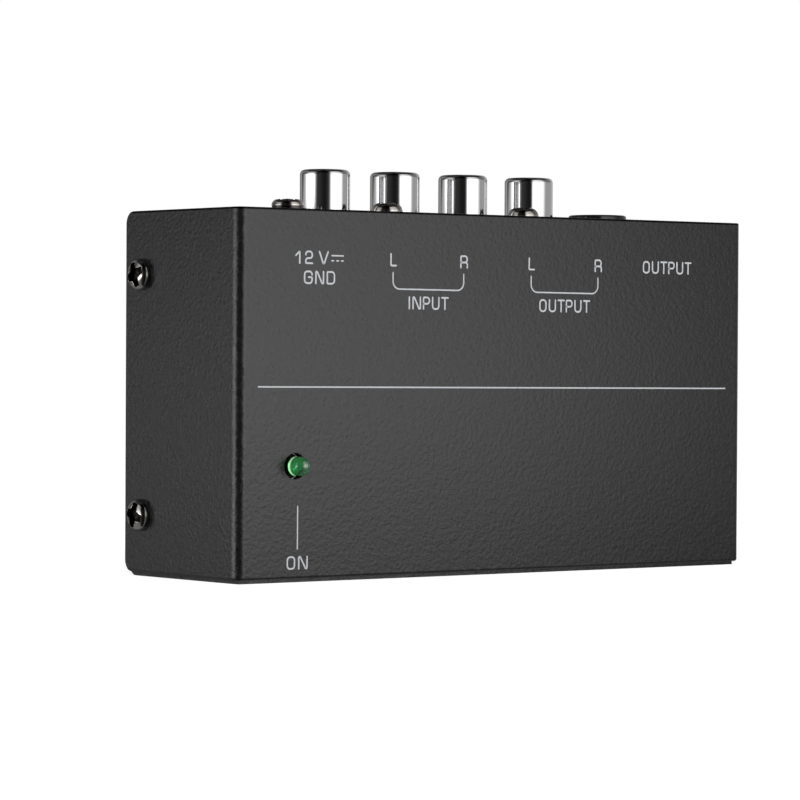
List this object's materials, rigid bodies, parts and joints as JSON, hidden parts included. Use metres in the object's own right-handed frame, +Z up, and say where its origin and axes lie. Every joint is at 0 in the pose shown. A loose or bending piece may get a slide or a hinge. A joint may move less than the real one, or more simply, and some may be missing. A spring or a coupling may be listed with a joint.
{
  "type": "phono preamp",
  "caption": "Compact phono preamp: folded steel case with phono inputs and outputs, a stereo jack, a power jack and a ground terminal on one edge.",
  "frame": {"origin": "centre of the case's underside, on the tray's bottom flange", "axes": "+X along the printed front from left to right, +Y from the front to the back plate, +Z up to the connector panel"},
  "size_m": [0.1064, 0.0334, 0.064],
  "materials": {
    "powder_coat": "fine orange-peel charcoal powder coat, satin",
    "nickel": "bright nickel plate",
    "shell_chrome": "polished chrome plate",
    "black_plastic": "moulded, semi-gloss",
    "white_plastic": "moulded, semi-gloss",
    "red_plastic": "moulded, semi-gloss",
    "tin_plate": "tin plate",
    "spring_bronze": "bare spring bronze",
    "green_lens": "tinted epoxy",
    "board_green": "solder mask over glass-fibre board",
    "zinc_steel": "bright zinc plate",
    "resistor_lacquer": "lacquer",
    "chip_black": "moulded epoxy",
    "film_box": "moulded box",
    "can_sleeve": "shrink sleeve over aluminium",
    "wire_cover": "soft insulation"
  },
  "bodies": {
    "case": {"cover": "powder_coat", "tray": "powder_coat", "case_screws": "nickel", "block_screws": "nickel", "ground_nut": "zinc_steel", "ground_lug": "tin_plate", "ground_wire": "wire_cover", "input_jack_block": "black_plastic", "output_jack_block": "black_plastic", "input_jack_shells": "shell_chrome", "output_jack_shells": "shell_chrome", "left_channel_inserts": "white_plastic", "right_channel_inserts": "red_plastic", "jack_centre_contacts": "tin_plate", "power_jack_body": "black_plastic", "power_jack_pin": "tin_plate", "power_jack_spring": "spring_bronze", "stereo_jack_body": "black_plastic", "stereo_jack_contacts": "spring_bronze", "led": "green_lens", "led_spacer": "white_plastic", "led_leads": "tin_plate", "circuit_board": "board_green", "board_bosses": "zinc_steel", "board_screws": "zinc_steel", "resistors": "resistor_lacquer", "preamp_chips": "chip_black", "film_capacitors": "film_box", "electrolytic_capacitors": "can_sleeve", "supply_diode": "chip_black"},
    "clamp_washer": {"ground_washer": "nickel"},
    "terminal_screw": {"ground_screw": "nickel"}
  },
  "joints": [
    {"name": "ground_clamp_lift", "type": "slide", "parent": "case", "child": "clamp_washer", "axis": [0, 0, 1], "range_m": [0, 0.0015]},
    {"name": "ground_screw_turn", "type": "hinge", "parent": "clamp_washer", "child": "terminal_screw", "pos_m": [-0.0363, -0.0068, 0.057], "axis": [0, 0, 1], "range_deg": [0, 1080]}
  ],
  "couplings": [
    {"joint": "ground_screw_turn", "follows": "ground_clamp_lift", "rad_per_m": 12566}
  ]
}
